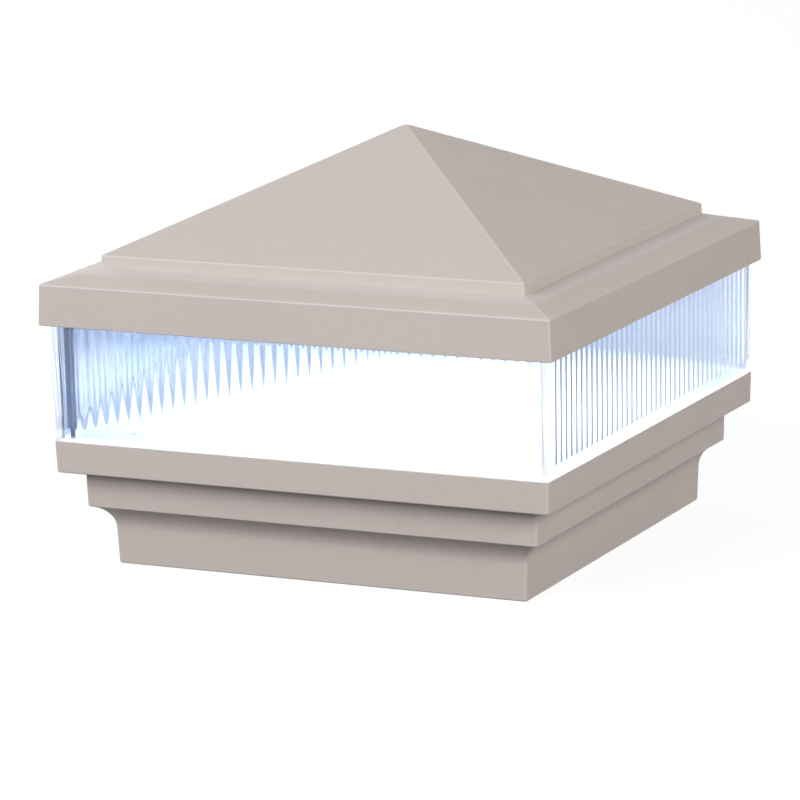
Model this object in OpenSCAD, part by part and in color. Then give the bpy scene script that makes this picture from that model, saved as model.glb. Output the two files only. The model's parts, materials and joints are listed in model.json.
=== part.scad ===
// Deck post cap light: a square lit cap that drops over the top of a deck post.
// Millimetres, +Z up. The origin is the centre of the collar's bottom edge.
// Widths of the square mouldings are held as half widths, measured from the centre.

/* [Post] */
// Width of the square post sleeve that the collar drops over
post_w = 127; // [100:1:150]
// Play on each side between the post and the collar
post_gap = 1.2; // [0.8:0.1:2.5]
// How far the centring ribs stand into that play
centring_rib = 0.5; // [0.2:0.1:0.6]

/* [Base moulding] */
// Wall of the collar at its bottom edge
collar_wall = 3.3; // [2.5:0.1:5]
// How much the collar widens on each side by its top
collar_draft = 0.45; // [0:0.05:0.8]
// Height of the collar below the cove
collar_h = 11.1; // [8:0.1:20]
// Radius of the cove under the lower band
cove_r = 7.9; // [6:0.1:9]
// How far the lower band stands out from the collar
lower_band_out = 6.2; // [5:0.1:8]
// Height of the lower band
lower_band_h = 11.3; // [8:0.1:16]
// How far the upper band stands out from the lower band
upper_band_out = 6.25; // [5:0.05:8]
// Height of the upper band
upper_band_h = 10; // [8:0.1:16]
// How much each band widens on each side by its top
band_draft = 0.3; // [0:0.05:0.6]
// Wall of the bands
base_wall = 3.2; // [2.5:0.1:4]
// Thickness of the deck that rests on the post
deck_t = 2.8; // [2:0.1:4]

/* [Lens] */
// Height of lens that shows between the base and the roof
lens_h = 35.8; // [25:0.1:60]
// Wall of the lens at its bottom edge
lens_t = 2.8; // [2.5:0.1:4]
// How much the lens widens on each side by its shoulder
lens_draft = 0.55; // [0.4:0.05:0.9]
// Width of the shoulder that the roof's skirt covers
shoulder_w = 0.75; // [0.6:0.05:1]
// Spacing of the vertical flutes inside the lens
flute_pitch = 3.82; // [3:0.01:8]
// Depth of the flutes
flute_depth = 0.42; // [0.3:0.02:1.2]
// Height of the plain rim below the flutes
rim_h = 3.6; // [2:0.1:6]
// Least width of the plain strip beside each inside corner
corner_strip = 1; // [0.5:0.1:6]
// Thickness of the tongue that locates the lens in the base
tongue_t = 1.1; // [0.8:0.1:1.4]
// Height of the tongue
tongue_h = 3; // [2:0.1:3.5]

/* [Roof] */
// How far the skirt stands out from the lens
skirt_out = 2.1; // [1.8:0.1:4]
// Height of the skirt
skirt_h = 12.6; // [11:0.1:18]
// How much the skirt narrows on each side by its top
skirt_draft = 0.4; // [0:0.05:0.6]
// Thickness of the roof above the ceiling plate's edge
landing_t = 2.1; // [1.6:0.1:3]
// Width of the sloped ledge between the skirt and the riser
ledge_w = 13.9; // [10:0.1:18]
// How much the ledge rises towards the riser
ledge_rise = 3.9; // [3:0.1:6]
// Height of the riser under the pyramid
riser_h = 3.3; // [2:0.1:6]
// Height of the pyramid
pyramid_h = 32.8; // [28:0.1:50]
// Wall of the roof
roof_wall = 2.6; // [2:0.1:3]

/* [Trays and seals] */
// Thickness of the white floor plate
floor_t = 1.8; // [1.6:0.1:2.5]
// Thickness of the white ceiling plate
ceiling_t = 2; // [1.6:0.1:3]
// Depth of the ceiling plate's lips inside the lens
lip_h = 3.6; // [2:0.1:4]
// Thickness of the foam seal between the lens and the ceiling plate
roof_seal_t = 0.5; // [0.4:0.1:1.5]
// Thickness of the seal under the lens
lens_seal_t = 0.6; // [0.4:0.1:1]

/* [Light unit] */
// Radius of the light board
led_board_r = 28; // [26:1:32]
// Radius of the ring of emitters
led_ring_r = 22; // [20:0.5:23]
// Number of emitters
led_count = 12; // [6:1:16]
// Depth of the diffuser below the ceiling plate
cover_h = 7.4; // [7.2:0.1:12]
// Wall of the diffuser
cover_t = 1.5; // [1:0.1:2]

/* [Driver] */
// Length of the driver board
driver_l = 56; // [52:1:64]
// Width of the driver board
driver_w = 40; // [38:1:48]
// Height of the driver board above the ceiling plate
driver_rise = 5; // [4.6:0.1:8]
// Radius of the smoothing capacitor
capacitor_r = 5; // [3:0.5:6]
// Height of the smoothing capacitor
capacitor_h = 14; // [8:1:16]

/* [Wiring] */
// Height of the terminal block
terminal_h = 10.5; // [9.5:0.1:14]
// Radius of the hole for the supply lead in the grommet
inlet_r = 3; // [2:0.1:3.5]
// Radius of each inner lead
lead_r = 0.55; // [0.4:0.05:0.7]

/* [Fasteners] */
// Radius of the screws' threads
screw_r = 1.45; // [1.2:0.05:1.5]
// Radius of the screws' heads
screw_head_r = 2.8; // [2.4:0.1:3]

/* [Hidden] */
$fn = 48;

// Colours
TAUPE = [0.76, 0.72, 0.70];
CLEAR = [0.80, 0.88, 0.97];
WHITE = [0.95, 0.95, 0.96];
OPAL = [0.98, 0.98, 0.94];
RUBBER = [0.16, 0.16, 0.17];
FOAM = [0.86, 0.87, 0.88];
STEEL = [0.72, 0.73, 0.75];
BRASS = [0.80, 0.66, 0.32];
BLACK = [0.10, 0.10, 0.11];
BLUE = [0.13, 0.22, 0.45];
NAVY = [0.13, 0.17, 0.28];
IVORY = [0.93, 0.91, 0.84];
SILVER = [0.82, 0.83, 0.85];
BOARD = [0.10, 0.36, 0.22];
PHOSPHOR = [0.98, 0.87, 0.40];

// Clearances
eps = 0.01;          // overreach of a cut
fit = 0.05;          // between a fixed piece and its hole
slip = 0.2;          // between pieces that push together
lift_gap = 0.3;      // between the roof and what it lifts off
rest_gap = 0.1;      // between the roof's seal and the lens

// Half widths of the mouldings, from the post outwards
collar_in = post_w / 2 + post_gap;
collar_bottom = collar_in + collar_wall;
collar_top = collar_bottom + collar_draft;
lower_band_bottom = collar_top + lower_band_out;
lower_band_top = lower_band_bottom + band_draft;
upper_band_bottom = lower_band_top + upper_band_out;
upper_band_top = upper_band_bottom + band_draft;
lens_in = upper_band_top - lens_t;
lens_shoulder = upper_band_top + lens_draft;
lens_top = lens_shoulder - shoulder_w;
skirt_in = lens_top + lift_gap;
skirt_bottom = lens_shoulder + skirt_out;
skirt_top = skirt_bottom - skirt_draft;
riser_in = skirt_top - ledge_w;
eave = riser_in - riser_h * tan(3);
wiring_in = lower_band_bottom - base_wall;
ledge_in = lens_in - 3.6;

// Levels, from the bottom up
lower_band_z = collar_h + cove_r;
upper_band_z = lower_band_z + lower_band_h;
base_z = upper_band_z + upper_band_h;
floor_z = base_z - floor_t;
skirt_z = base_z + lens_h;
shoulder_z = skirt_z - slip;
skirt_top_z = skirt_z + skirt_h;
landing_z = skirt_top_z - landing_t;
ceiling_z = landing_z - ceiling_t;
lens_top_z = ceiling_z - roof_seal_t - rest_gap;
riser_z = skirt_top_z + ledge_rise;
eave_z = riser_z + riser_h;
apex_z = eave_z + pyramid_h;
flute_z = base_z + rim_h;
flute_top_z = lens_top_z - lip_h - rest_gap;

// Wiring space over the deck
pad_h = 3;                               // pad under the terminal block
terminal_room = 2.2;                     // over the terminal block
deck_top_z = floor_z - terminal_room - terminal_h - pad_h;
deck_z = deck_top_z - deck_t;
ledge_z = upper_band_z + base_wall;      // underside of the ledge that carries the floor
wiring_z = max(deck_top_z, lower_band_z + base_wall);   // where the wiring space widens
wire_z = deck_top_z + pad_h + 4;

// Terminal block
terminal_inset = 27.45;                  // from the wall of the wiring space to the block's centre
terminal_x = terminal_inset - wiring_in;
terminal_w = 17;
terminal_l = 32;
pole_y = 4.5;
fixing_y = 12.5;
cage = [8, 5, 6];
cage_z = wire_z - 2.8;

// Centring ribs
rib_w = 2.4;
rib_start = 3;                           // above the collar's bottom edge

// Grommet and cord clamp
grommet_r = inlet_r + 2.5;
grommet_flange = 2.3;
grommet_flange_h = 1.6;
grommet_boss_h = 2;                      // extra thickness of the deck round the grommet
grommet_recess_r = grommet_r + grommet_flange + slip;
grommet_z = deck_z + slip;               // the lower flange is sunk into the deck
grommet_seat_z = grommet_z + grommet_flange_h;
grommet_web_z = deck_top_z + grommet_boss_h;
clamp_x = terminal_x / 2;
clamp_y = inlet_r + 6;
clamp_post_h = 6;
clamp_bar = [8, 2 * clamp_y + 8, 2.4];
saddle_r = inlet_r + 2.2;

// Screws
screw_head_h = 1.9;
small_head_r = 2.4;                      // heads of the screws in the boards
pilot_r = screw_r + fit;
screw_hole_r = screw_r + slip;
boss_r = screw_r + 2.1;
corner_screw = collar_in - 3.2;          // half spacing of the floor and ceiling screws
floor_screw_l = 8;
ceiling_screw_l = 9;
wiring_screw_l = 7.5;
led_screw_l = 8;
driver_screw_l = 5.5;

// Light unit, hung from the ceiling plate
spreader_t = 1.5;
board_t = 1.6;
spreader_z = ceiling_z - spreader_t;
led_z = spreader_z - board_t;
emitter = [3.2, 3.2, 0.7];
led_screw_ring = 14;
centre_hole_r = 4;
led_lead_r = 0.5;
cover_r = led_board_r + 5.5;
cover_ring_t = 1.6;
cover_ring_h = 2.6;

// Driver, on top of the ceiling plate
driver_z = landing_z + driver_rise;
driver_top_z = driver_z + board_t;
driver_screw = [driver_l / 2 - 4, driver_w / 2 - 4];
led_boss_h = driver_rise - 1;
rectifier_at = [-driver_l / 4, -driver_w * 0.175];
rectifier_size = [8, 6.4, 2.6];
capacitor_at = [-driver_l * 0.18, driver_w * 0.225];
inductor_at = [driver_l * 0.16, driver_w * 0.225];
chip_at = [driver_l * 0.07, -driver_w / 5];
resistor_inset = 16;                     // from the board's edge to the first of the row
resistor_x = driver_l / 2 - resistor_inset;

// Plug and socket of the inner leads, in the corner under the ceiling plate
lead_c = lens_in - 1.9;                  // where the sleeve stands, from the centre
lead_s = 0.5;                            // offset of each lead inside the sleeve
sleeve_in = lead_s * sqrt(2) + lead_r + 0.1;
sleeve_r = sleeve_in + 0.3;
sleeve_end = 10;                         // from the sleeve's top to the ceiling plate
sleeve_top_z = ceiling_z - sleeve_end;
plug_c = lens_in - 7.2;
plug = [6.8, 4.8, 6];
plug_z = ceiling_z - plug[2] - 1.1;
socket = [10, 8, 3.6];
neck = [8, 6, 1.5];
pin_x = 1.3;
pin_r = 0.32;
run_x = wiring_in - 2.4;                 // leads along the wall of the wiring space

// Flutes
flute_n = floor(2 * (lens_in - corner_strip) / flute_pitch);
flute_start = -flute_n * flute_pitch / 2;
flute_steps = 4;

// Roof shell
pitch = atan(pyramid_h / eave);
ledge_pitch = atan(ledge_rise / ledge_w);
roof_in = lens_top - 5.3;
function pyramid_under(x) = apex_z - roof_wall / cos(pitch) - x * tan(pitch);
function ledge_under(x) = riser_z + (riser_in - x) * tan(ledge_pitch) - roof_wall / cos(ledge_pitch);

// Routes of the inner leads: chosen points, set from the pieces that carry the leads
lead_start_x = terminal_x - terminal_w / 2 + 6;
lead_bend = 5;                           // room in which a lead turns
lead_turn = 12;                          // room in which it settles along a wall
black_run = run_x - 2.3;
black_corner = [-lead_c + lead_s, -lead_c - lead_s];
blue_corner = [-lead_c - lead_s, -lead_c + lead_s];
black_route = [[lead_start_x, -pole_y, wire_z], [terminal_x - lead_turn, -pole_y, wire_z],
    [-black_run + lead_bend, -pole_y - lead_turn / 4, wire_z], [-black_run, -pole_y - lead_turn, wire_z],
    [-black_run, -run_x + 2 * lead_turn, wire_z], [-black_run, -run_x + lead_bend, wire_z],
    [-run_x + 0.2, -run_x - 1.4, ledge_z + 1], [-lead_c + 3.4, -lead_c + 2.2, floor_z - 1.7],
    [black_corner[0], black_corner[1], base_z - 1], [black_corner[0], black_corner[1], base_z + 1.5],
    [black_corner[0], black_corner[1], sleeve_top_z - 1.5], [black_corner[0], black_corner[1], sleeve_top_z],
    [-lead_c + 2.6, -lead_c + 1.6, sleeve_top_z + 1.5], [-plug_c + pin_x, -plug_c, plug_z - 1.2],
    [-plug_c + pin_x, -plug_c, plug_z - slip]];
blue_route = [[lead_start_x, pole_y, wire_z], [terminal_x - 1.1 * lead_turn, pole_y, wire_z],
    [-run_x + lead_bend, pole_y - lead_turn / 4, wire_z], [-run_x, pole_y - 1.2 * lead_turn, wire_z],
    [-run_x, -run_x + 2 * lead_turn, wire_z], [-run_x, -run_x + 1.2 * lead_bend, wire_z],
    [-run_x - 1.2, -run_x - 0.2, ledge_z + 1], [-lead_c + 2.3, -lead_c + 3.3, floor_z - 1.7],
    [blue_corner[0], blue_corner[1], base_z - 1], [blue_corner[0], blue_corner[1], base_z + 1.5],
    [blue_corner[0], blue_corner[1], sleeve_top_z - 1.5], [blue_corner[0], blue_corner[1], sleeve_top_z],
    [-lead_c + 0.9, -lead_c + 2.5, sleeve_top_z + 1.5], [-plug_c - pin_x, -plug_c, plug_z - 1.2],
    [-plug_c - pin_x, -plug_c, plug_z - slip]];
pad = [-driver_l / 2 + 3, -driver_w / 10];
head_corner = [-plug_c + 2 * neck[0], -plug_c + neck[1] / 2];
head_start = [-plug_c + neck[0] / 2 + slip, -plug_c, landing_z + neck[2] / 2];
head_middle = [[head_corner[0] - lead_bend, head_corner[1] - neck[1] / 4, landing_z + 1.1],
    [head_corner[0] + lead_bend, head_corner[1] + neck[1] / 2, landing_z + 1.2],
    [head_corner[0] + lead_turn, head_corner[1] + 1.5 * lead_turn, landing_z + 1.6],
    [-driver_l / 2 - 1.6 * lead_bend, -driver_w / 2 - 1.6 * lead_bend, landing_z + 3.4],
    [-driver_l / 2 - 0.6 * lead_bend, -driver_w / 4, driver_top_z + 1],
    [pad[0] - 1.2, pad[1] - 0.8, driver_top_z + 2.2], [pad[0], pad[1], driver_top_z + 1.2],
    [pad[0], pad[1], driver_top_z + slip]];
head_twin = [1.6, -1.6, 0];

// --- Helpers -------------------------------------------------------------

// Runs a half section of [half width, height] points round all four sides, with mitred corners
module mitred(section) {
    count = len(section);
    whole = concat(section, [for (i = [count - 1:-1:0]) [-section[i][0], section[i][1]]]);
    reach = 4 * skirt_bottom;
    intersection() {
        rotate([90, 0, 0]) linear_extrude(reach, center = true) polygon(whole);
        rotate([90, 0, 90]) linear_extrude(reach, center = true) polygon(whole);
    }
}

// A square block given by its half width and its levels
module block(half, z0, z1) {
    translate([-half, -half, z0]) cube([2 * half, 2 * half, z1 - z0]);
}

// A box centred over a point, standing on a level
module box_at(x, y, z, size) {
    translate([x - size[0] / 2, y - size[1] / 2, z]) cube(size);
}

module rod(x, y, z, r, h) {
    translate([x, y, z]) cylinder(r = r, h = h);
}

// Copies at the four corners of a rectangle
module corners(x, y) {
    for (sx = [-1, 1], sy = [-1, 1]) translate([sx * x, sy * y, 0]) children();
}

// Cross recess in a screw's head, cut down from its top
module cross_recess(r, depth) {
    for (a = [0, 90]) rotate(a) translate([-r, -0.3, -depth]) cube([2 * r, 0.6, depth + eps]);
}

// Pan-head screw: the head stands on level 0 and the shank hangs below it
module pan_screw(length, head_r = screw_head_r) {
    difference() {
        union() {
            cylinder(r = head_r, h = screw_head_h * 0.6);
            translate([0, 0, screw_head_h * 0.6])
                cylinder(r1 = head_r, r2 = head_r * 0.7, h = screw_head_h * 0.4);
            translate([0, 0, -length]) cylinder(r = screw_r, h = length);
        }
        translate([0, 0, screw_head_h]) cross_recess(head_r * 0.55, screw_head_h * 0.5);
    }
}

// Countersunk screw: its flat top is at level 0
module flat_screw(length, head_h) {
    difference() {
        union() {
            translate([0, 0, -head_h]) cylinder(r1 = screw_r, r2 = screw_head_r, h = head_h);
            translate([0, 0, -length]) cylinder(r = screw_r, h = length);
        }
        cross_recess(screw_head_r * 0.6, head_h * 0.5);
    }
}

function unit(v) = v / norm(v);
function along(p, i) = unit(p[min(i + 1, len(p) - 1)] - p[max(i - 1, 0)]);
function curve_at(a, b, c, d, t) = 0.5 * (2 * b + (c - a) * t + (2 * a - 5 * b + 4 * c - d) * t * t
    + (3 * b - a - 3 * c + d) * t * t * t);
function smooth(p, n) = concat([for (i = [0:len(p) - 2], j = [0:n - 1])
    curve_at(p[max(i - 1, 0)], p[i], p[i + 1], p[min(i + 2, len(p) - 1)], j / n)], [p[len(p) - 1]]);
function sides_of(p, i, found) = i == len(p) ? found :
    sides_of(p, i + 1, concat(found, [unit(found[i - 1] - (found[i - 1] * along(p, i)) * along(p, i))]));

// A round lead along a route, with flat ends
module lead(route, r = lead_r, sides = 8, steps = 3) {
    p = smooth(route, steps);
    n = len(p);
    first = unit(cross(along(p, 0), [0.3, 0.5, 0.8]));
    side = sides_of(p, 1, [first]);
    rings = [for (i = [0:n - 1], k = [0:sides - 1])
        p[i] + r * (cos(360 * k / sides) * side[i] + sin(360 * k / sides) * cross(along(p, i), side[i]))];
    walls = [for (i = [0:n - 2], k = [0:sides - 1])
        let (a = i * sides + k, b = i * sides + (k + 1) % sides)
        each [[a, a + sides, b + sides], [a, b + sides, b]]];
    start = [for (k = [1:sides - 2]) [0, k, k + 1]];
    finish = [for (k = [1:sides - 2]) let (m = (n - 1) * sides) [m, m + k + 1, m + k]];
    polyhedron(rings, concat(walls, start, finish));
}

// --- Base ----------------------------------------------------------------

module base_outline() {
    mitred([[0, 0], [collar_bottom, 0], [collar_top, collar_h], [collar_top, lower_band_z],
        [lower_band_bottom, lower_band_z], [lower_band_top, upper_band_z],
        [upper_band_bottom, upper_band_z], [upper_band_top, base_z], [0, base_z]]);
    intersection() {
        cove_run();
        rotate(90) cove_run();
    }
}

// The cove under the lower band, along two sides: a bar less a round groove on each side
module cove_run() {
    difference() {
        block(lower_band_bottom, collar_h, lower_band_z);
        for (s = [-1, 1]) translate([s * (collar_top + cove_r), 0, collar_h]) rotate([90, 0, 0])
            cylinder(r = cove_r, h = 3 * lower_band_bottom, center = true, $fn = 96);
    }
}

module base_moulding() color(TAUPE) difference() {
    union() {
        difference() {
            base_outline();
            block(collar_in, -1, deck_z);
            block(collar_in, deck_top_z, floor_z + eps);
            block(wiring_in, wiring_z, ledge_z + eps);
            block(ledge_in, ledge_z, base_z + 1);
            block(lens_in - rest_gap, floor_z, base_z + 1);
            lens_groove();
            lead_pocket();
        }
        floor_bosses();
        rod(0, 0, deck_top_z - eps, grommet_recess_r + 2, grommet_boss_h + eps);
        terminal_pad();
        clamp_posts();
        centring_ribs();
    }
    rod(0, 0, deck_z - 1, grommet_r + fit, deck_t + grommet_boss_h + 2);
    rod(0, 0, deck_z - 1, grommet_recess_r, grommet_seat_z - deck_z + 1);
    corners(corner_screw, corner_screw) rod(0, 0, floor_z - floor_screw_l, pilot_r, floor_screw_l + 1);
    for (s = [-1, 1]) {
        rod(terminal_x, s * fixing_y, deck_z + 1, pilot_r, deck_t + pad_h);
        rod(clamp_x, s * clamp_y, deck_z + 1, pilot_r, deck_t + clamp_post_h);
    }
}

// Groove round the top of the base for the lens's tongue
module lens_groove() {
    groove_z = base_z - tongue_h - lens_seal_t - fit;
    difference() {
        block(lens_in + tongue_t + rest_gap, groove_z, base_z + 1);
        block(lens_in - rest_gap, groove_z - 1, base_z + 2);
    }
}

// Pocket in the corner of the ledge, where the inner leads turn up
module lead_pocket() {
    size = lens_in - rest_gap - ledge_in + 4;
    translate([-lens_in + rest_gap, -lens_in + rest_gap, ledge_z]) cube([size, size, base_z]);
}

module floor_bosses() {
    corners(corner_screw, corner_screw) rod(0, 0, deck_z + eps, boss_r, floor_z - deck_z - eps);
}

module terminal_pad() {
    box_at(terminal_x, 0, deck_top_z - eps, [terminal_w, terminal_l, pad_h + eps]);
}

module clamp_posts() {
    for (s = [-1, 1]) rod(clamp_x, s * clamp_y, deck_top_z - eps, boss_r, clamp_post_h + eps);
}

// Two low ribs on each inside face of the collar centre it on the post
module centring_ribs() {
    rib = [rib_w, centring_rib + 1, deck_z - rib_start];
    for (a = [0:90:270], s = [-1, 1])
        rotate(a) translate([s * collar_in * 0.6 - rib_w / 2, collar_in - centring_rib, rib_start])
            cube(rib);
}

module lead_grommet() color(RUBBER) {
    outer = grommet_r + grommet_flange;
    top = grommet_web_z + grommet_flange_h;
    rotate_extrude() polygon([[inlet_r, grommet_z], [outer - 0.6, grommet_z], [outer, grommet_z + 0.6],
        [outer, grommet_seat_z], [grommet_r, grommet_seat_z], [grommet_r, grommet_web_z],
        [outer, grommet_web_z], [outer, top - 0.6], [outer - 0.6, top], [inlet_r, top]]);
}

module cord_clamp() color(WHITE) {
    z = deck_top_z + clamp_post_h;
    difference() {
        union() {
            box_at(clamp_x, 0, z, clamp_bar);
            translate([clamp_x, 0, z]) rotate([0, 90, 0])
                cylinder(r = saddle_r, h = clamp_bar[0], center = true);
        }
        box_at(clamp_x, 0, z - 2 * saddle_r, [2 * clamp_bar[0], 2 * clamp_bar[1], 2 * saddle_r]);
        translate([clamp_x, 0, z]) rotate([0, 90, 0])
            cylinder(r = inlet_r, h = clamp_bar[0] + 2, center = true);
        for (s = [-1, 1]) rod(clamp_x, s * clamp_y, z - 1, screw_hole_r, clamp_bar[2] + 2);
    }
}

module terminal_block() color(IVORY) difference() {
    box_at(terminal_x, 0, deck_top_z + pad_h, [terminal_w, terminal_l, terminal_h]);
    for (s = [-1, 1]) {
        translate([terminal_x, s * pole_y, wire_z]) rotate([0, 90, 0])
            cylinder(r = 1.7, h = terminal_w + 2, center = true);
        box_at(terminal_x, s * pole_y, cage_z - fit, [cage[0] + 2 * fit, cage[1] + 2 * fit, terminal_h]);
        rod(terminal_x, s * fixing_y, deck_top_z, screw_hole_r, terminal_h + pad_h + 1);
        rod(terminal_x, s * fixing_y, terminal_seat_z(), screw_head_r + slip, terminal_h);
    }
}

// Level of the seats for the block's fixing screws
function terminal_seat_z() = deck_top_z + pad_h + 3;

module terminal_cages() color(BRASS) {
    for (s = [-1, 1]) difference() {
        box_at(terminal_x, s * pole_y, cage_z, cage);
        translate([terminal_x, s * pole_y, wire_z]) rotate([0, 90, 0])
            cylinder(r = 1.5, h = cage[0] + 2, center = true);
        for (t = [-1, 1]) rod(terminal_x + t * 2.1, s * pole_y, wire_z, 1.15 + fit, cage[2]);
    }
}

module terminal_screws() color(STEEL) {
    head_z = cage_z + cage[2] + 0.4;
    tip_z = wire_z + lead_r + 0.1;
    for (s = [-1, 1], t = [-1, 1]) translate([terminal_x + t * 2.1, s * pole_y, head_z]) difference() {
        union() {
            cylinder(r = 1.9, h = 1.4);
            translate([0, 0, tip_z - head_z]) cylinder(r = 1.15, h = head_z - tip_z + 0.1);
        }
        translate([-2, -0.3, 0.8]) cube([4, 0.6, 1]);
    }
}

module wiring_screws() color(STEEL) {
    for (s = [-1, 1]) {
        translate([clamp_x, s * clamp_y, deck_top_z + clamp_post_h + clamp_bar[2]]) pan_screw(wiring_screw_l);
        translate([terminal_x, s * fixing_y, terminal_seat_z()]) pan_screw(wiring_screw_l);
    }
}

module floor_plate() color(WHITE) difference() {
    block(lens_in - lift_gap, floor_z, base_z);
    corners(corner_screw, corner_screw) {
        rod(0, 0, floor_z - 1, screw_hole_r, floor_t + 2);
        translate([0, 0, floor_z + slip])
            cylinder(r1 = screw_hole_r, r2 = screw_head_r + slip, h = floor_t - slip + eps);
    }
    notch = 1 + lens_in - lead_c + sleeve_r + 2 * slip;
    translate([-lens_in - 1, -lens_in - 1, floor_z - 1]) cube([notch, notch, floor_t + 2]);
}

module floor_screws() color(WHITE) {
    corners(corner_screw, corner_screw) translate([0, 0, base_z]) flat_screw(floor_screw_l, floor_t - slip);
}

// --- Lens ----------------------------------------------------------------

// One side of the fluted opening: raised-cosine grooves cut into the inner face
function flute(j) = flute_depth * (1 - cos(360 * j / flute_steps)) / 2;
flute_side = [for (k = [0:flute_n - 1], j = [0:flute_steps - 1])
    [flute_start + (k + j / flute_steps) * flute_pitch, -lens_in - flute(j)]];
function turned(p, a) = [p[0] * cos(a) - p[1] * sin(a), p[0] * sin(a) + p[1] * cos(a)];

module fluted_opening() {
    polygon([for (a = [0:90:270]) each concat([turned([-lens_in, -lens_in], a)],
        [for (p = flute_side) turned(p, a)], [turned([-flute_start, -lens_in], a)])]);
}

module lens() color(CLEAR, 0.45) difference() {
    union() {
        mitred([[0, base_z], [upper_band_top, base_z], [lens_shoulder, shoulder_z], [lens_top, shoulder_z],
            [lens_top, lens_top_z], [0, lens_top_z]]);
        block(lens_in + tongue_t, base_z - tongue_h, base_z + 1);
    }
    block(lens_in, base_z - tongue_h - 1, lens_top_z + 1);
    translate([0, 0, flute_z]) linear_extrude(flute_top_z - flute_z) fluted_opening();
}

module lens_seal() color(FOAM) {
    z = base_z - tongue_h - lens_seal_t;
    difference() {
        block(lens_in + tongue_t, z, base_z - tongue_h);
        block(lens_in, z - 1, base_z);
    }
}

// --- Inner leads ---------------------------------------------------------

module supply_lead_black() color(BLACK) lead(black_route);

module supply_lead_blue() color(BLUE) lead(blue_route);

module lead_sleeve() color(NAVY) {
    h = sleeve_top_z - flute_z;
    translate([-lead_c, -lead_c, flute_z]) difference() {
        cylinder(r = sleeve_r, h = h);
        translate([0, 0, -1]) cylinder(r = sleeve_in, h = h + 2);
    }
}

module lead_plug() color(IVORY) difference() {
    union() {
        box_at(-plug_c, -plug_c, plug_z, plug);
        box_at(-plug_c, -plug_c, plug_z, [plug[0] + 1.6, plug[1] + 1.6, 2]);
    }
    for (s = [-1, 1]) rod(-plug_c + s * pin_x, -plug_c, plug_z + 1, 0.6, plug[2]);
}

// --- Roof ----------------------------------------------------------------

module roof_cap() color(TAUPE) difference() {
    union() {
        difference() {
            roof_outline();
            block(skirt_in, skirt_z - 1, landing_z);
            roof_hollow();
        }
        intersection() {
            roof_outline();
            corners(corner_screw, corner_screw) rod(0, 0, landing_z, boss_r, apex_z - landing_z);
        }
    }
    corners(corner_screw, corner_screw) rod(0, 0, landing_z - 1, pilot_r, ceiling_screw_l - ceiling_t + 2);
}

module roof_outline() {
    mitred([[0, skirt_z], [skirt_bottom, skirt_z], [skirt_top, skirt_top_z], [riser_in, riser_z],
        [eave, eave_z], [0, apex_z]]);
}

module roof_hollow() {
    neck_in = riser_in - roof_wall;
    mitred([[0, landing_z - 1], [roof_in, landing_z - 1], [roof_in, ledge_under(roof_in)],
        [neck_in, ledge_under(neck_in)], [neck_in, pyramid_under(neck_in)], [0, pyramid_under(0)]]);
}

module ceiling_plate() color(WHITE) difference() {
    union() {
        block(lens_top, ceiling_z, landing_z);
        ceiling_lips();
        difference() {
            rod(0, 0, ceiling_z - cover_ring_h, cover_r + slip + cover_ring_t, cover_ring_h + eps);
            rod(0, 0, ceiling_z - cover_ring_h - 1, cover_r + slip, cover_ring_h + 1);
        }
        corners(driver_screw[0], driver_screw[1]) rod(0, 0, landing_z - eps, boss_r, driver_rise + eps);
        for (a = [30:120:270]) rotate(a) rod(led_screw_ring, 0, landing_z - eps, boss_r, led_boss_h + eps);
    }
    corners(corner_screw, corner_screw) rod(0, 0, ceiling_z - 1, screw_hole_r, ceiling_t + 2);
    corners(driver_screw[0], driver_screw[1]) rod(0, 0, landing_z + 0.5, pilot_r, driver_rise);
    for (a = [30:120:270]) rotate(a) rod(led_screw_ring, 0, ceiling_z - 1, pilot_r, led_screw_l);
    rod(0, 0, ceiling_z - 1, centre_hole_r, ceiling_t + 2);
    box_at(-plug_c, -plug_c, ceiling_z - 1, [neck[0] + 2 * fit, neck[1] + 2 * fit, ceiling_t + 2]);
}

// A lip along the middle of each side, just inside the lens, keeps the roof square on it
module ceiling_lips() {
    lip = [1.2 * collar_in, 1.4, lip_h + eps];
    for (a = [0:90:270]) rotate(a)
        translate([-lip[0] / 2, lens_in - lift_gap - lip[1], ceiling_z - lip_h]) cube(lip);
}

module ceiling_screws() color(STEEL) {
    corners(corner_screw, corner_screw) translate([0, 0, ceiling_z]) mirror([0, 0, 1])
        pan_screw(ceiling_screw_l);
}

module roof_seal() color(FOAM) {
    difference() {
        block(lens_top - slip, ceiling_z - roof_seal_t, ceiling_z);
        block(lens_in + slip, ceiling_z - roof_seal_t - 1, ceiling_z + 1);
    }
}

// --- Light unit ----------------------------------------------------------

module led_plate(z, t) {
    difference() {
        rod(0, 0, z, led_board_r, t);
        rod(0, 0, z - 1, centre_hole_r, t + 2);
        for (a = [30:120:270]) rotate(a) rod(led_screw_ring, 0, z - 1, screw_hole_r, t + 2);
    }
}

module heat_spreader() color(SILVER) led_plate(spreader_z, spreader_t);

module led_board() color(WHITE) led_plate(led_z, board_t);

module led_emitters() color(PHOSPHOR) {
    for (i = [0:led_count - 1]) rotate(360 * i / led_count) {
        box_at(led_ring_r, 0, led_z - emitter[2], emitter);
        rod(led_ring_r, 0, led_z - emitter[2] - 0.25, 1.2, 0.3);
    }
}

module led_cover() color(OPAL) {
    top = ceiling_z - slip;
    low = ceiling_z - cover_h;
    round_r = 2.5;
    translate([0, 0, low]) rotate_extrude() difference() {
        union() {
            square([cover_r - round_r, top - low]);
            translate([0, round_r]) square([cover_r, top - low - round_r]);
            translate([cover_r - round_r, round_r]) circle(r = round_r);
        }
        translate([0, cover_t]) square([cover_r - cover_t, top - low]);
        translate([-cover_r, -1]) square([cover_r, cover_h + 2]);
    }
}

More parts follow.
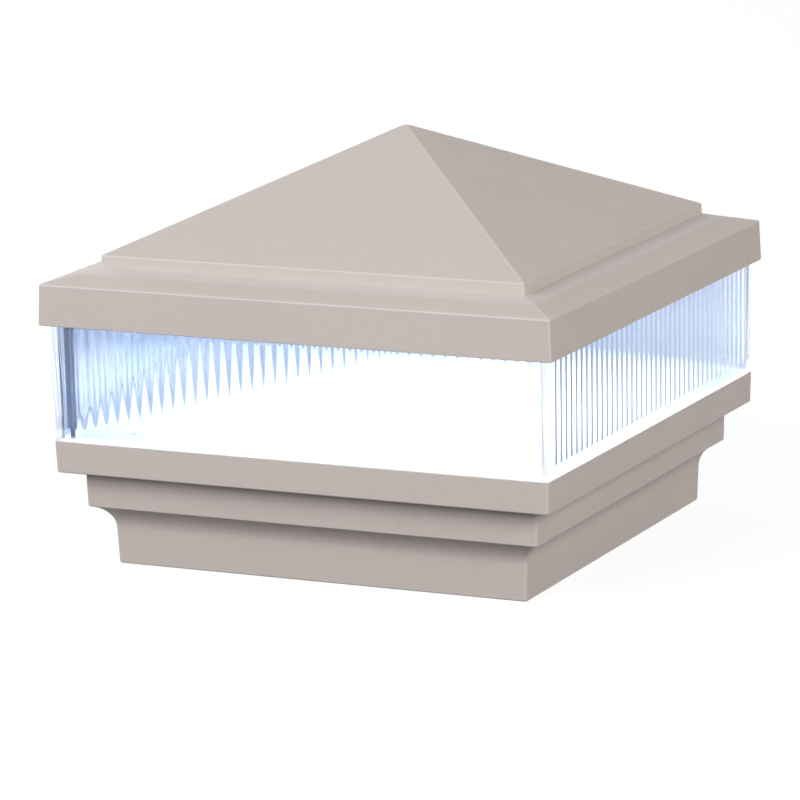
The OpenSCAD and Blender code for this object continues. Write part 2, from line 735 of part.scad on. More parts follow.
module led_board_screws() color(STEEL) {
    for (a = [30:120:270]) rotate(a) translate([led_screw_ring, 0, led_z]) mirror([0, 0, 1])
        pan_screw(led_screw_l, head_r = small_head_r);
}

// --- Driver --------------------------------------------------------------

module driver_board() color(BOARD) difference() {
    box_at(0, 0, driver_z, [driver_l, driver_w, board_t]);
    corners(driver_screw[0], driver_screw[1]) rod(0, 0, driver_z - 1, screw_hole_r, board_t + 2);
}

module driver_screws() color(STEEL) {
    corners(driver_screw[0], driver_screw[1]) translate([0, 0, driver_top_z])
        pan_screw(driver_screw_l, head_r = small_head_r);
}

module rectifier() color(BLACK) {
    box_at(rectifier_at[0], rectifier_at[1], driver_top_z + 0.3, rectifier_size);
    leg = rectifier_size[1] / 2 + 0.4;
    for (s = [-1, 1], t = [-1, 1])
        box_at(rectifier_at[0] + s * 2.5, rectifier_at[1] + t * leg, driver_top_z, [1, 1.4, 0.8]);
}

module capacitor() color(NAVY) {
    translate([capacitor_at[0], capacitor_at[1], driver_top_z]) {
        cylinder(r = capacitor_r, h = capacitor_h - 0.6);
        translate([0, 0, capacitor_h - 0.6]) cylinder(r1 = capacitor_r, r2 = capacitor_r - 0.6, h = 0.6);
    }
}

module inductor() color(BLACK) {
    translate([inductor_at[0], inductor_at[1], driver_top_z]) {
        cylinder(r = 6, h = 1.2);
        translate([0, 0, 1.2 - eps]) cylinder(r = 4.6, h = 4.6 + 2 * eps);
        translate([0, 0, 5.8]) cylinder(r = 6, h = 1.2);
    }
}

module driver_chip() color(BLACK) {
    box_at(chip_at[0], chip_at[1], driver_top_z + 0.2, [5, 4, 1.5]);
    for (i = [-1.5:1:1.5], s = [-1, 1])
        box_at(chip_at[0] + i * 1.27, chip_at[1] + s * 2.4, driver_top_z, [0.45, 1.2, 0.6]);
}

module chip_resistors() color(BLACK) {
    for (i = [0:4]) box_at(resistor_x + 2.6 * i, chip_at[1] - 1 + 3 * (i % 2), driver_top_z, [1.3, 2, 0.6]);
}

// --- Socket and leads of the head ---------------------------------------

module lead_socket() color(IVORY) difference() {
    union() {
        box_at(-plug_c, -plug_c, ceiling_z - socket[2], socket);
        box_at(-plug_c, -plug_c, ceiling_z - eps, [neck[0], neck[1], ceiling_t + neck[2] + eps]);
    }
    box_at(-plug_c, -plug_c, ceiling_z - socket[2] - 1,
        [plug[0] + 2 * lift_gap, plug[1] + 2 * lift_gap, socket[2] + 0.2]);
    for (s = [-1, 1]) rod(-plug_c + s * pin_x, -plug_c, ceiling_z - socket[2], pin_r + fit, socket[2] + 1.5);
}

module socket_pins() color(BRASS) {
    for (s = [-1, 1]) rod(-plug_c + s * pin_x, -plug_c, ceiling_z - socket[2] + 0.6, pin_r, socket[2] + 0.6);
}

module head_leads() color(BLACK) {
    first = concat([for (x = [0, 1.5]) head_start + [x, 1.2, 0]], head_middle);
    second = concat([for (x = [0, 1.5]) head_start + [x, -1.2, 0]], [for (p = head_middle) p + head_twin]);
    lead(first);
    lead(second);
}

module led_leads() color(BLACK) {
    hole_x = centre_hole_r * 0.4;
    pad_x = centre_hole_r * 1.5;
    dip = led_z - 3.6 * led_lead_r;
    for (s = [-1, 1]) lead([[s * hole_x, 0, driver_z - fit], [s * hole_x, 0, ceiling_z],
        [s * (hole_x + 0.1), 0, led_z - led_lead_r], [s * pad_x * 0.53, 0, dip], [s * pad_x * 0.87, 0, dip],
        [s * pad_x, 0, led_z - 1.6 * led_lead_r], [s * pad_x, 0, led_z - slip]], r = led_lead_r);
}

base_moulding();
lead_grommet();
cord_clamp();
terminal_block();
terminal_cages();
terminal_screws();
wiring_screws();
floor_plate();
floor_screws();
lens();
lens_seal();
supply_lead_black();
supply_lead_blue();
lead_sleeve();
lead_plug();
roof_cap();
ceiling_plate();
ceiling_screws();
roof_seal();
heat_spreader();
led_board();
led_emitters();
led_cover();
led_board_screws();
driver_board();
driver_screws();
rectifier();
capacitor();
inductor();
driver_chip();
chip_resistors();
lead_socket();
socket_pins();
head_leads();
led_leads();
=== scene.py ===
"""Deck post cap light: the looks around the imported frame.

Lengths are in millimetres, except where a comment says metres. Half widths are measured from the centre.
"""
import json
import math
from functools import cached_property

import bmesh
import bpy
from mathutils import Matrix, Vector


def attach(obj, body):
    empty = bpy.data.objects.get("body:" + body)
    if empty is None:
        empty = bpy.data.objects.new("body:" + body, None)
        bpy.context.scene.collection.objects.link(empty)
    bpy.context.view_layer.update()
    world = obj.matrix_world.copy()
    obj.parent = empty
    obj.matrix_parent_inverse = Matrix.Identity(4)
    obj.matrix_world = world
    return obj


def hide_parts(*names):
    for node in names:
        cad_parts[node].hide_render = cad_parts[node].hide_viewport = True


MM = 0.001

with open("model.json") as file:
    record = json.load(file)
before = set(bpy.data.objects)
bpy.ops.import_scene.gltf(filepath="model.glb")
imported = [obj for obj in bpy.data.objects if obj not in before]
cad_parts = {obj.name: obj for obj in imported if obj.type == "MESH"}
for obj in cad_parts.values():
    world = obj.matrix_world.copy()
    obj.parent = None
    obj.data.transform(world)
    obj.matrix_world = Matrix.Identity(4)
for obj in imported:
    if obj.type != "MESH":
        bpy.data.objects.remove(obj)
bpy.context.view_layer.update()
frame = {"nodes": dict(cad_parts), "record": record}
nodes = frame["nodes"]


# --- Sizes ---------------------------------------------------------------
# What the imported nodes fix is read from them. Most of the driving sizes have the names and the values
# that the part's source gives them. Names that end in Z are levels over the collar's bottom edge, and the
# other sizes that are worked out here are half widths.

def box(name):
    """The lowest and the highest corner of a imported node's box."""
    axes = list(zip(*nodes[name].bound_box))
    return [round(min(axis) / MM, 3) for axis in axes], [round(max(axis) / MM, 3) for axis in axes]


def extent(name):
    """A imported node's half width, its lowest level and its highest level."""
    low, high = box(name)
    return high[0], low[2], high[2]


UPPER_BAND_TOP, COLLAR_Z, BASE_Z = extent("base_moulding")
LENS_SHOULDER, TONGUE_Z, LENS_TOP_Z = extent("lens")
SKIRT_BOTTOM, SKIRT_Z, APEX_Z = extent("roof_cap")
SEAL_Z = extent("lens_seal")[1]
FLOOR_Z = extent("floor_plate")[1]
BLOCK_LOW, BLOCK_HIGH = box("terminal_block")
CLAMP_LOW, CLAMP_HIGH = box("cord_clamp")

# driving sizes of the base moulding
COLLAR_WALL, COLLAR_DRAFT = 3.3, 0.45
COVE_R = 7.9
LOWER_BAND_OUT, LOWER_BAND_H = 6.2, 11.3
UPPER_BAND_OUT, UPPER_BAND_H = 6.25, 10
BAND_DRAFT, BASE_WALL = 0.3, 3.2
DECK_T, PAD_H = 2.8, 3
FLOOR_REST = 3.6                    # width of the ledge that carries the floor plate
FIT, SEAT_GAP = 0.05, 0.1
CORNER_SCREW_IN = 3.2               # from the collar's inside to the corner screws
FLOOR_SCREW_L = 8

# driving sizes of the lens
LENS_T, SHOULDER_W = 2.8, 0.75
TONGUE_T = 1.1
RIM_H, LIP_H = 3.6, 3.6
FLUTE_PITCH, FLUTE_DEPTH, FLUTE_STEPS = 3.82, 0.42, 16
CORNER_STRIP = 1.0                  # least width of the plain strip beside an inside corner
HAIR = 0.03                         # keeps the lens off the base, so that no two faces share a place
COVERED = 0.2                       # how far the skirt reaches over the shoulder

# driving sizes of the roof
SKIRT_H, SKIRT_DRAFT = 12.6, 0.4
LANDING_T, LANDING_W = 2.1, 5.3
LIFT_GAP = 0.3
LEDGE_W, LEDGE_RISE = 13.9, 3.9
RISER_H, RISER_LEAN = 3.3, 0.17
ROOF_WALL = 2.6
TIP_R, TIP_DROP = 2.2, 0.28         # where the rounding of the tip starts, and how far it lowers the tip

# half widths and levels of the base moulding
UPPER_BAND_BOTTOM = UPPER_BAND_TOP - BAND_DRAFT
LOWER_BAND_TOP = UPPER_BAND_BOTTOM - UPPER_BAND_OUT
LOWER_BAND_BOTTOM = LOWER_BAND_TOP - BAND_DRAFT
COLLAR_TOP = LOWER_BAND_BOTTOM - LOWER_BAND_OUT
COLLAR_BOTTOM = COLLAR_TOP - COLLAR_DRAFT
COLLAR_IN = COLLAR_BOTTOM - COLLAR_WALL
WIRING_IN = LOWER_BAND_BOTTOM - BASE_WALL
UPPER_BAND_Z = BASE_Z - UPPER_BAND_H
LEDGE_Z = UPPER_BAND_Z + BASE_WALL
COVE_Z = UPPER_BAND_Z - LOWER_BAND_H - COVE_R
PAD_Z = BLOCK_LOW[2]
CLAMP_POST_Z = CLAMP_LOW[2]
DECK_TOP_Z = PAD_Z - PAD_H
DECK_Z = DECK_TOP_Z - DECK_T

# half widths and levels of the lens, and of the groove and the ledge beside it
LENS_BOTTOM = UPPER_BAND_TOP
LENS_IN = LENS_BOTTOM - LENS_T
LENS_TOP = LENS_SHOULDER - SHOULDER_W
TONGUE = LENS_IN + TONGUE_T
LENS_Z = BASE_Z + HAIR
SHOULDER_Z = SKIRT_Z - COVERED
FLUTE_Z = BASE_Z + RIM_H
FLUTE_TOP_Z = LENS_TOP_Z - LIP_H - SEAT_GAP
FLUTE_COUNT = int(2 * (LENS_IN - CORNER_STRIP) / FLUTE_PITCH)
GROOVE_OUT = TONGUE + SEAT_GAP
GROOVE_IN = LENS_IN - SEAT_GAP
GROOVE_Z = SEAL_Z - FIT
LEDGE_IN = LENS_IN - FLOOR_REST

# half widths and levels of the roof
ROOF_IN = LENS_TOP - LANDING_W
SKIRT_IN = LENS_TOP + LIFT_GAP
SKIRT_TOP = SKIRT_BOTTOM - SKIRT_DRAFT
RISER = SKIRT_TOP - LEDGE_W
RISER_IN = RISER - ROOF_WALL
EAVE = RISER - RISER_LEAN
SKIRT_TOP_Z = SKIRT_Z + SKIRT_H
LANDING_Z = SKIRT_TOP_Z - LANDING_T
RISER_Z = SKIRT_TOP_Z + LEDGE_RISE
EAVE_Z = RISER_Z + RISER_H


# --- Node trees ----------------------------------------------------------

LEAST_ROUGH = 0.29      # the least value that an uneven roughness takes


class Graph:
    """The node tree of a material or a world, with short ways to add and join nodes."""

    def __init__(self, owner, output="ShaderNodeOutputMaterial"):
        self.owner = owner
        owner.use_nodes = True
        self.tree = owner.node_tree
        self.tree.nodes.clear()
        self.output = self.add(output)

    @cached_property
    def place(self):
        """The point's object coordinates, in metres."""
        return self.add("ShaderNodeTexCoord").outputs["Object"]

    def add(self, kind, **values):
        """Adds a node and sets its properties, or else its inputs, by name."""
        node = self.tree.nodes.new(kind)
        for key, value in values.items():
            if hasattr(node, key):
                setattr(node, key, value)
            else:
                node.inputs[key.replace("_", " ")].default_value = value
        return node

    def join(self, source, target):
        self.tree.links.new(source, target)

    def noise(self, scale, detail, rough, stretch=(1, 1, 1), distortion=0.0):
        """Noise with so many waves to the metre, or fewer along an axis whose stretch is below 1."""
        spread = self.add("ShaderNodeMapping", Scale=stretch)
        self.join(self.place, spread.inputs["Vector"])
        node = self.add("ShaderNodeTexNoise", Scale=scale, Detail=detail, Roughness=rough,
                        Distortion=distortion)
        self.join(spread.outputs["Vector"], node.inputs["Vector"])
        return node.outputs["Fac"]

    def cells(self, scale, **values):
        """Distance within cells, of which there are so many to the metre."""
        node = self.add("ShaderNodeTexVoronoi", Scale=scale, **values)
        self.join(self.place, node.inputs["Vector"])
        return node.outputs["Distance"]

    def span(self, value, low, high, start=0.3, end=0.7):
        """Goes from low to high while the value goes from start to end."""
        node = self.add("ShaderNodeMapRange")
        node.inputs["From Min"].default_value = start
        node.inputs["From Max"].default_value = end
        node.inputs["To Min"].default_value = low
        node.inputs["To Max"].default_value = high
        self.join(value, node.inputs["Value"])
        return node.outputs["Result"]

    def fade(self, place, low, high, start, over):
        """Goes from low to high between two places on the object, start and start + over."""
        return self.span(place, low, high, start * MM, (start + over) * MM)

    def gloss(self, noise, rough, least, most):
        """A roughness that follows the noise from least to most times its own value."""
        return self.span(noise, max(rough * least, LEAST_ROUGH), rough * most)

    def blend(self, amount, first, second):
        """Mixes two colours, each a socket or three numbers."""
        node = self.add("ShaderNodeMix", data_type="RGBA")
        self.join(amount, node.inputs[0])
        for socket, colour in ((node.inputs[6], first), (node.inputs[7], second)):
            if isinstance(colour, bpy.types.NodeSocket):
                self.join(colour, socket)
            else:
                socket.default_value = (*colour, 1)
        return node.outputs[2]

    def maths(self, operation, *values):
        node = self.add("ShaderNodeMath", operation=operation)
        for value, socket in zip(values, node.inputs):
            self.join(value, socket)
        return node.outputs["Value"]

    def least(self, *values):
        return self.maths("MINIMUM", *values)

    def most(self, *values):
        return self.maths("MAXIMUM", *values)

    def axis(self, name):
        """Distance from the middle along X or Y, or the height along Z, in metres."""
        parts = self.add("ShaderNodeSeparateXYZ")
        self.join(self.place, parts.inputs["Vector"])
        return parts.outputs["Z"] if name == "Z" else self.maths("ABSOLUTE", parts.outputs[name])

    def bump(self, height, depth, strength=1.0, under=None):
        """A normal from a height, on top of the bump under it, if there is one."""
        node = self.add("ShaderNodeBump", Strength=strength, Distance=depth * MM)
        self.join(height, node.inputs["Height"])
        if under is not None:
            self.join(under, node.inputs["Normal"])
        return node.outputs["Normal"]

    def shader(self, **values):
        node = self.add("ShaderNodeBsdfPrincipled", **values)
        self.join(node.outputs["BSDF"], self.output.inputs["Surface"])
        return node

    def dress(self, shader, **sources):
        """Joins what varies over the surface to the shader's sockets of that name."""
        for name, source in sources.items():
            self.join(source, shader.inputs[name.replace("_", " ")])

    def seen(self):
        """1 for the rays that show the background: from the camera, off a gloss or through the lens."""
        rays = self.add("ShaderNodeLightPath").outputs
        direct = self.most(rays["Is Camera Ray"], rays["Is Glossy Ray"])
        return self.most(direct, rays["Is Transmission Ray"])


# --- Materials -----------------------------------------------------------

TAUPE = (0.536, 0.469, 0.434)
PAINTED_HIGHLIGHT = (0.570, 0.520, 0.490)       # painted highlight: taupe paler and less brown, on the rounded edges and on the ledge's strip
STRIP_W, STRIP_FADE = 4.75, 1.8         # the strip of the ledge in front of the riser, which carries a painted reflection of the riser
STRIP_Z = SKIRT_TOP_Z + 1.5             # the strip lies over this level, and the skirt under it


def shade(colour, by):
    return tuple(min(1.0, c * by) for c in colour)


def plastic(g, colour, rough, mottle, peel=0.006, peel_scale=900, finish=None, **sockets):
    """Moulded plastic: a faint mottle in the colour, an uneven gloss and a fine orange peel."""
    cloud = g.span(g.noise(scale=14, detail=5, rough=0.6, distortion=0.3), 0, 1)
    colour_out = g.blend(cloud, shade(colour, 1 - mottle), shade(colour, 1 + mottle))
    grain = g.span(g.noise(scale=520, detail=3, rough=0.6), 0, 1, start=0.35, end=0.75)
    colour_out = g.blend(grain, colour_out, shade(colour, 1 - 1.5 * mottle))
    # paints light onto the colour: highlights and reflections
    if finish:
        colour_out = finish(g, colour_out)
    uneven = g.noise(scale=60, detail=6, rough=0.65)
    fine = g.bump(g.noise(scale=peel_scale, detail=2, rough=0.5), depth=peel)
    waves = g.noise(scale=45, detail=2, rough=0.4)
    g.dress(g.shader(**sockets),
            Base_Color=colour_out,
            Roughness=g.gloss(uneven, rough, least=0.9, most=1.15),
            Normal=g.bump(waves, depth=0.05, strength=0.5, under=fine))


def painted_highlights(g, colour_out):
    """Painted highlights: pale rounded edges, and a painted reflection of the riser on the ledge's strip,
    dying away up the riser.
    """
    # the rounded edges' mark, painted pale as a highlight, unevenly
    edge = g.add("ShaderNodeAttribute", attribute_name="edge").outputs["Fac"]
    uneven = g.span(g.noise(scale=210, detail=3, rough=0.6), 0.55, 1.0)
    colour_out = g.blend(g.maths("MULTIPLY", edge, uneven), colour_out, PAINTED_HIGHLIGHT)
    # the strip of the ledge in front of the riser, painted pale as a reflection of the riser
    out = g.fade(g.most(g.axis("X"), g.axis("Y")), 1, 0, RISER + STRIP_W, over=STRIP_FADE)
    over_skirt = g.fade(g.axis("Z"), 0, 1, STRIP_Z, over=0.1)
    on_riser = g.fade(g.axis("Z"), 1, 0.25, RISER_Z - 0.1, over=0.3)
    under_eave = g.fade(g.axis("Z"), 1, 0, EAVE_Z - 0.4, over=0.2)
    strip = g.least(g.least(out, over_skirt), g.least(on_riser, under_eave))
    return g.blend(strip, colour_out, PAINTED_HIGHLIGHT)


def metal(g, colour, rough, brush=(1, 1, 1)):
    """Bare metal with a faint stain and a fine grain, drawn out along the brushing."""
    stain = g.span(g.noise(scale=90, detail=6, rough=0.6), 0, 1)
    uneven = g.noise(scale=700, detail=5, rough=0.6, stretch=brush)
    grain = g.noise(scale=1500, detail=3, rough=0.6, stretch=brush)
    g.dress(g.shader(Metallic=1.0),
            Base_Color=g.blend(stain, shade(colour, 0.88), shade(colour, 1.06)),
            Roughness=g.gloss(uneven, rough, least=0.8, most=1.5),
            Normal=g.bump(grain, depth=0.01))


def clear_plastic(g, casts, dim, bright):
    """Clear plastic with a cold cast and a painted glow: emission that stands in for the lamp's light
    carried by the lens, faint all over, bright on its corner posts and its rim, and dimmer edge-on.
    """
    cast = g.span(g.noise(scale=35, detail=3, rough=0.5), 0, 1)
    # where the glow is painted: the corner posts and the rim, less where the surface turns edge-on
    post = g.fade(g.least(g.axis("X"), g.axis("Y")), 0, 1, LENS_IN - 0.3, over=0.6)
    rim = g.fade(g.axis("Z"), 1, 0, BASE_Z + 0.5, over=1.0)
    facing = g.add("ShaderNodeLayerWeight", Blend=0.5).outputs["Facing"]
    painted_glow = g.least(g.most(post, rim), g.span(facing, 1, 0, start=0.62, end=0.85))
    ripple = g.noise(scale=140, detail=3, rough=0.5, stretch=(1, 1, 0.15))
    g.dress(g.shader(Roughness=0.0, IOR=1.49, Transmission_Weight=1.0, Emission_Strength=1.0),
            Base_Color=g.blend(cast, *casts),
            Emission_Color=g.blend(painted_glow, dim, bright),
            Normal=g.bump(ripple, depth=0.004))


def glowing(g, colour, glow, strength):
    """A piece that gives light, a little unevenly."""
    cloud = g.span(g.noise(scale=40, detail=4, rough=0.5), 0, 1)
    g.dress(g.shader(Roughness=0.3, Emission_Strength=strength),
            Base_Color=g.blend(cloud, shade(colour, 0.97), colour),
            Emission_Color=g.blend(cloud, shade(glow, 0.96), glow),
            Normal=g.bump(g.noise(scale=600, detail=2, rough=0.5), depth=0.01))


def circuit_board(g, gaps, copper):
    """Lacquered board: patches of copper under the lacquer, parted by narrow gaps."""
    patches = g.span(g.cells(scale=260, feature="DISTANCE_TO_EDGE"), 0, 1, start=0.03, end=0.06)
    g.dress(g.shader(Roughness=0.35),
            Base_Color=g.blend(patches, gaps, copper),
            Normal=g.bump(patches, depth=0.02))


def foam(g, colour):
    """Closed foam with fine pores, painted dark as shade, between paler cell walls."""
    # the pores' centres are painted dark as shade, the cell walls paler
    walls = g.span(g.cells(scale=1800), 0, 1, start=0.1, end=0.5)
    g.dress(g.shader(Roughness=0.9),
            Base_Color=g.blend(walls, shade(colour, 0.5), shade(colour, 1.4)),
            Normal=g.bump(walls, depth=0.15))


MATERIALS = {
    # the taupe has painted highlights on its edges and a painted reflection on its ledge
    "taupe_moulding": (plastic, dict(colour=TAUPE, rough=0.50, mottle=0.022, finish=painted_highlights, IOR=1.42)),
    "clear_lens": (clear_plastic, dict(casts=((0.56, 0.645, 0.77), (0.60, 0.675, 0.80)),
                                       dim=(0.024, 0.030, 0.046), bright=(0.54, 0.55, 0.56))),
    "white_reflector": (plastic, dict(colour=(0.90, 0.91, 0.92), rough=0.4, mottle=0.01)),
    "white_steel": (plastic, dict(colour=(0.88, 0.88, 0.88), rough=0.3, mottle=0.02)),
    "white_plastic": (plastic, dict(colour=(0.85, 0.85, 0.85), rough=0.5, mottle=0.02)),
    "ivory_plastic": (plastic, dict(colour=(0.84, 0.80, 0.68), rough=0.5, mottle=0.03)),
    "black_rubber": (plastic, dict(colour=(0.03, 0.03, 0.032), rough=0.6, mottle=0.15,
                                   peel=0.02, peel_scale=1600)),
    "foam_seal": (foam, dict(colour=(0.75, 0.76, 0.78))),
    "black_lead": (plastic, dict(colour=(0.02, 0.02, 0.022), rough=0.45, mottle=0.1)),
    "blue_lead": (plastic, dict(colour=(0.02, 0.06, 0.22), rough=0.45, mottle=0.1)),
    "navy_sleeve": (plastic, dict(colour=(0.12, 0.15, 0.225), rough=0.5, mottle=0.12,
                                  peel=0.03, peel_scale=1200)),
    "steel": (metal, dict(colour=(0.56, 0.57, 0.58), rough=0.3)),
    "brass": (metal, dict(colour=(0.72, 0.55, 0.25), rough=0.3)),
    "aluminium": (metal, dict(colour=(0.80, 0.81, 0.82), rough=0.35, brush=(1, 0.06, 1))),
    "white_board": (plastic, dict(colour=(0.88, 0.88, 0.86), rough=0.3, mottle=0.015)),
    "led_phosphor": (glowing, dict(colour=(0.95, 0.85, 0.35), glow=(0.85, 0.92, 1.0), strength=4.0)),
    "opal_diffuser": (glowing, dict(colour=(0.93, 0.94, 0.95), glow=(0.95, 0.97, 1.0), strength=34.0)),
    "green_board": (circuit_board, dict(gaps=(0.035, 0.21, 0.09), copper=(0.02, 0.13, 0.06))),
    "black_component": (plastic, dict(colour=(0.02, 0.02, 0.02), rough=0.5, mottle=0.1,
                                      peel=0.02, peel_scale=1500)),
    "capacitor_sleeve": (plastic, dict(colour=(0.03, 0.05, 0.15), rough=0.3, mottle=0.08)),
    "ferrite": (plastic, dict(colour=(0.05, 0.05, 0.05), rough=0.55, mottle=0.12,
                              peel=0.02, peel_scale=1800)),
}


def make_material(name):
    kind, looks = MATERIALS[name]
    g = Graph(bpy.data.materials.new(name))
    kind(g, **looks)
    return g.owner


materials = {name: make_material(name) for name in MATERIALS}
for part in frame["record"]["subparts"]:
    shown = nodes[part["node"]]
    shown.data.materials.clear()
    shown.data.materials.append(materials[part["material_slot"]])


# --- Edges of the CAD nodes ----------------------------------------------

SOFTENED = ("floor_plate", "ceiling_plate", "terminal_block", "lead_plug", "lead_socket", "driver_board")
SOFT_EDGE_W, SOFT_EDGE_ANGLE = 0.15, 28
WELD_GAP = 0.002


def soften(shown):
    """Rounds a node's edges with modifiers, so its own mesh stays as packed."""
    weld = shown.modifiers.new("weld", "WELD")
    weld.merge_threshold = WELD_GAP * MM
    bevel = shown.modifiers.new("bevel", "BEVEL")
    bevel.width = SOFT_EDGE_W * MM
    bevel.segments = 2
    bevel.limit_method = "ANGLE"
    bevel.angle_limit = math.radians(SOFT_EDGE_ANGLE)
    bevel.use_clamp_overlap = True
    bevel.harden_normals = True


for name in SOFTENED:
    soften(nodes[name])


# --- Mesh helpers --------------------------------------------------------

CREASE = math.radians(32)           # edges that turn by more stay sharp in the shading
ROUNDING_W = 0.3                    # faces narrower than this belong to a rounding
ARC_STEP = math.radians(16)         # about what one step of a rounding turns
LEAST_TURN = math.radians(4)        # a corner that turns by less isn't rounded
MOULD_CORNER_R = 0.7                # the upright corners of the base and the roof
LENS_CORNER_R = 0.45                # and of the lens


def turned(x, y, side):
    """The point (x, y), turned about the centre to one of the four sides."""
    turn = math.radians(90 * side)
    return x * math.cos(turn) - y * math.sin(turn), x * math.sin(turn) + y * math.cos(turn)


def rounded(profile):
    """A line of (half width, level, radius) points, with an arc in place of each corner."""
    line = []
    for i, (x, z, radius) in enumerate(profile):
        here = Vector((x, z))
        if radius <= 0 or i in (0, len(profile) - 1):
            line.append((x, z))
            continue
        back = (Vector(profile[i - 1][:2]) - here).normalized()
        on = (Vector(profile[i + 1][:2]) - here).normalized()
        opening = back.angle(on)
        turn = math.pi - opening
        if turn < LEAST_TURN:
            line.append((x, z))
            continue
        reach = radius / math.tan(opening / 2)
        centre = here + (back + on).normalized() * radius / math.sin(opening / 2)
        first, last = here + back * reach - centre, here + on * reach - centre
        count = max(2, round(turn / ARC_STEP))
        way = 1 if first.x * last.y - first.y * last.x > 0 else -1
        for k in range(count + 1):
            a = way * turn * k / count
            line.append((centre.x + first.x * math.cos(a) - first.y * math.sin(a),
                         centre.y + first.x * math.sin(a) + first.y * math.cos(a)))
    return line


def square_ring(half, z, radius, segments):
    """Points round a square with rounded corners, anticlockwise seen from above."""
    ring = []
    for side in range(4):
        for k in range(segments + 1):
            a = math.radians(180 + 90 * k / segments)
            x = -half + radius + radius * math.cos(a)
            y = -half + radius + radius * math.sin(a)
            ring.append((*turned(x, y, side), z))
    return ring


def add_wall(b, rings):
    """Joins each ring of vertices to the next with a band of faces."""
    for low, high in zip(rings, rings[1:]):
        for i in range(len(low)):
            j = (i + 1) % len(low)
            b.faces.new((low[i], low[j], high[j], high[i]))


def square_rings(b, line, corner, segments=5):
    """Runs a line of (half width, level) points round all four sides; returns the rings of vertices."""
    rings = []
    for half, z in line:
        radius = min(corner, half * 0.6)
        rings.append([b.verts.new(p) for p in square_ring(half, z, radius, segments)])
    add_wall(b, rings)
    return rings


def round_rings(b, line, x=0, y=0, n=64, closed=False):
    """Runs a line of (radius, level) points round an axis; a closed line comes back to its start."""
    turns = [2 * math.pi * k / n for k in range(n)]
    rings = []
    for r, z in line:
        rings.append([b.verts.new((x + r * math.cos(a), y + r * math.sin(a), z)) for a in turns])
    add_wall(b, rings + rings[:1] if closed else rings)
    return rings


def fill_between(b, *rings):
    """Fills the flat face that lies between two rings."""
    edges = []
    for ring in rings:
        edges += [b.edges.get(pair) for pair in zip(ring, ring[1:] + ring[:1])]
    bmesh.ops.triangle_fill(b, edges=edges, use_beauty=True)


def add_box(b, low, high, edge):
    """A box between two corners, with rounded edges."""
    verts = bmesh.ops.create_cube(b, size=1)["verts"]
    bmesh.ops.scale(b, vec=[h - l for l, h in zip(low, high)], verts=verts)
    bmesh.ops.translate(b, vec=[(l + h) / 2 for l, h in zip(low, high)], verts=verts)
    edges = list({e for v in verts for e in v.link_edges})
    bmesh.ops.bevel(b, geom=edges, offset=edge, segments=2, profile=0.5, affect="EDGES")


def mesh_object(b, name, slot):
    """Turns a bmesh in millimetres into an object in metres, with its sharp edges marked."""
    for edge in b.edges:
        edge.smooth = len(edge.link_faces) == 2 and edge.calc_face_angle(0) < CREASE
    bmesh.ops.scale(b, vec=(MM, MM, MM), verts=b.verts)
    mesh = bpy.data.meshes.new(name)
    b.to_mesh(mesh)
    b.free()
    mesh.materials.append(materials[slot])
    shown = bpy.data.objects.new(name, mesh)
    bpy.context.scene.collection.objects.link(shown)
    return shown


def stand_in(b, name, body, slot, *replaced):
    """Turns a bmesh into a moulded piece: smooth roundings, flat faces and a mark on its rounded edges,
    where a highlight is painted.
    """
    bmesh.ops.recalc_face_normals(b, faces=b.faces)
    # marks the narrow convex roundings, which the material paints pale as highlights
    painted_edge_highlight = b.faces.layers.float.new("edge")
    for face in b.faces:
        face.smooth = True
        width = 2 * face.calc_area() / face.calc_perimeter()
        longest = max(face.edges, key=lambda edge: edge.calc_length())
        face[painted_edge_highlight] = 1.0 if width < ROUNDING_W and longest.is_convex else 0.0
    shown = mesh_object(b, name, slot)
    weighted = shown.modifiers.new("weighted", "WEIGHTED_NORMAL")
    weighted.keep_sharp = True
    weighted.weight = 100           # the large faces count most, so they look flat
    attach(shown, body)
    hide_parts(*replaced)


# --- Lens ----------------------------------------------------------------

def add_flute(b, side, k, left, right):
    """Flute k of one side: a smooth groove between two columns, closed at its foot and its top."""
    low, high = [left[1]], [left[2]]
    for j in range(1, FLUTE_STEPS):
        u = (k + j / FLUTE_STEPS - FLUTE_COUNT / 2) * FLUTE_PITCH
        v = -LENS_IN - FLUTE_DEPTH * (1 - math.cos(2 * math.pi * j / FLUTE_STEPS)) / 2
        low.append(b.verts.new((*turned(u, v, side), FLUTE_Z)))
        high.append(b.verts.new((*turned(u, v, side), FLUTE_TOP_Z)))
    low.append(right[1])
    high.append(right[2])
    for i in range(FLUTE_STEPS):
        b.faces.new((low[i], high[i], high[i + 1], low[i + 1])).smooth = True
    b.faces.new(low)
    b.faces.new(high[::-1])


def add_lens_inside(b):
    """The inner wall: a plain rim, the flutes and a plain band; returns its lowest and highest rings."""
    levels = (TONGUE_Z, FLUTE_Z, FLUTE_TOP_Z, LENS_TOP_Z)

    def column(side, u):
        return [b.verts.new((*turned(u, -LENS_IN, side), z)) for z in levels]

    corners = [column(side, -LENS_IN) for side in range(4)]
    bottom, top = [], []
    for side in range(4):
        marks = [column(side, (k - FLUTE_COUNT / 2) * FLUTE_PITCH) for k in range(FLUTE_COUNT + 1)]
        columns = [corners[side], *marks, corners[(side + 1) % 4]]
        for left, right in zip(columns, columns[1:]):
            b.faces.new((left[0], left[1], right[1], right[0]))
            b.faces.new((left[2], left[3], right[3], right[2]))
        for left, right in (columns[:2], columns[-2:]):
            b.faces.new((left[1], left[2], right[2], right[1]))
        for k in range(FLUTE_COUNT):
            add_flute(b, side, k, marks[k], marks[k + 1])
        bottom += [c[0] for c in columns[:-1]]
        top += [c[3] for c in columns[:-1]]
    return bottom, top


